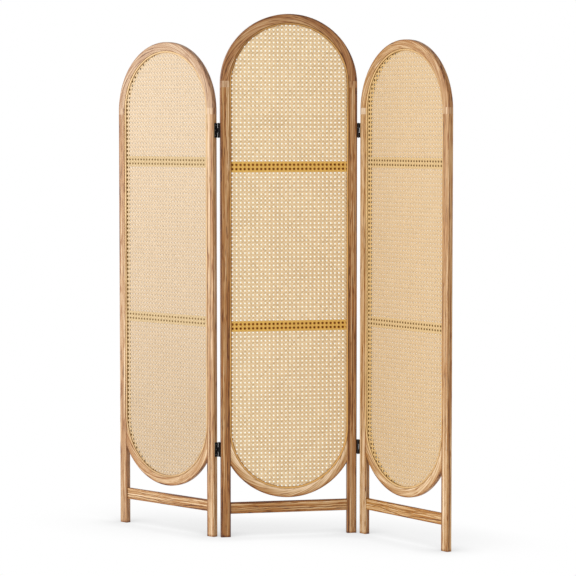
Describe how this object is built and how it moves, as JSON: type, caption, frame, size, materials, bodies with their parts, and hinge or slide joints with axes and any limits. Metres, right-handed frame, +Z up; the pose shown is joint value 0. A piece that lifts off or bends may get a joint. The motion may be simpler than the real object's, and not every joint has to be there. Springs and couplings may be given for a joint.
{
  "type": "folding screen",
  "caption": "Free-standing folding screen with arched wooden frames filled with woven cane, hinged as a zigzag to divide a room.",
  "frame": {"origin": "on the floor, in the middle of the box round the screen as it stands folded in its zigzag", "axes": "+Z up from the floor, +X along the middle panel from its left stile to its right stile, and the middle panel's front faces -Y"},
  "size_m": [0.9918, 0.8634, 1.8],
  "materials": {
    "frame_wood": "oiled, satin",
    "arch_wood": "oiled, satin, grain across the arch",
    "splice_wood": "oiled, satin, paler",
    "cane": "natural woven cane",
    "reed": "natural reed",
    "dowel_wood": "bare",
    "hinge_black": "black, satin",
    "screw_steel": "worn steel"
  },
  "bodies": {
    "left_panel": {"left_panel_left_stile": "frame_wood", "left_panel_right_stile": "frame_wood", "left_panel_left_splice_block": "splice_wood", "left_panel_right_splice_block": "splice_wood", "left_panel_arch": "arch_wood", "left_panel_lower_arc": "arch_wood", "left_panel_bottom_rail": "frame_wood", "left_panel_lower_cross_rail": "frame_wood", "left_panel_upper_cross_rail": "frame_wood", "left_panel_cane_webbing": "cane", "left_panel_cane_bead": "reed", "left_panel_dowels": "dowel_wood", "left_panel_hinge_screws": "screw_steel", "left_upper_hinge_side_leaf": "hinge_black", "left_lower_hinge_side_leaf": "hinge_black"},
    "middle_panel": {"middle_panel_left_stile": "frame_wood", "middle_panel_right_stile": "frame_wood", "middle_panel_left_splice_block": "splice_wood", "middle_panel_right_splice_block": "splice_wood", "middle_panel_arch": "arch_wood", "middle_panel_lower_arc": "arch_wood", "middle_panel_bottom_rail": "frame_wood", "middle_panel_lower_cross_rail": "frame_wood", "middle_panel_upper_cross_rail": "frame_wood", "middle_panel_cane_webbing": "cane", "middle_panel_cane_bead": "reed", "middle_panel_dowels": "dowel_wood", "middle_panel_hinge_screws": "screw_steel", "left_upper_hinge_middle_leaf": "hinge_black", "left_upper_hinge_pin": "hinge_black", "left_lower_hinge_middle_leaf": "hinge_black", "left_lower_hinge_pin": "hinge_black", "right_upper_hinge_middle_leaf": "hinge_black", "right_lower_hinge_middle_leaf": "hinge_black"},
    "right_panel": {"right_panel_left_stile": "frame_wood", "right_panel_right_stile": "frame_wood", "right_panel_left_splice_block": "splice_wood", "right_panel_right_splice_block": "splice_wood", "right_panel_arch": "arch_wood", "right_panel_lower_arc": "arch_wood", "right_panel_bottom_rail": "frame_wood", "right_panel_lower_cross_rail": "frame_wood", "right_panel_upper_cross_rail": "frame_wood", "right_panel_cane_webbing": "cane", "right_panel_cane_bead": "reed", "right_panel_dowels": "dowel_wood", "right_panel_hinge_screws": "screw_steel", "right_upper_hinge_side_leaf": "hinge_black", "right_upper_hinge_pin": "hinge_black", "right_lower_hinge_side_leaf": "hinge_black", "right_lower_hinge_pin": "hinge_black"}
  },
  "joints": [
    {"name": "left_fold", "type": "hinge", "parent": "middle_panel", "child": "left_panel", "pos_m": [-0.20731, 0.03483, 0.85], "axis": [0, 0, -1], "range_deg": [-56, 124]},
    {"name": "right_fold", "type": "hinge", "parent": "middle_panel", "child": "right_panel", "pos_m": [0.27869, 0.00683, 0.85], "axis": [0, 0, -1], "range_deg": [-66, 114]}
  ]
}
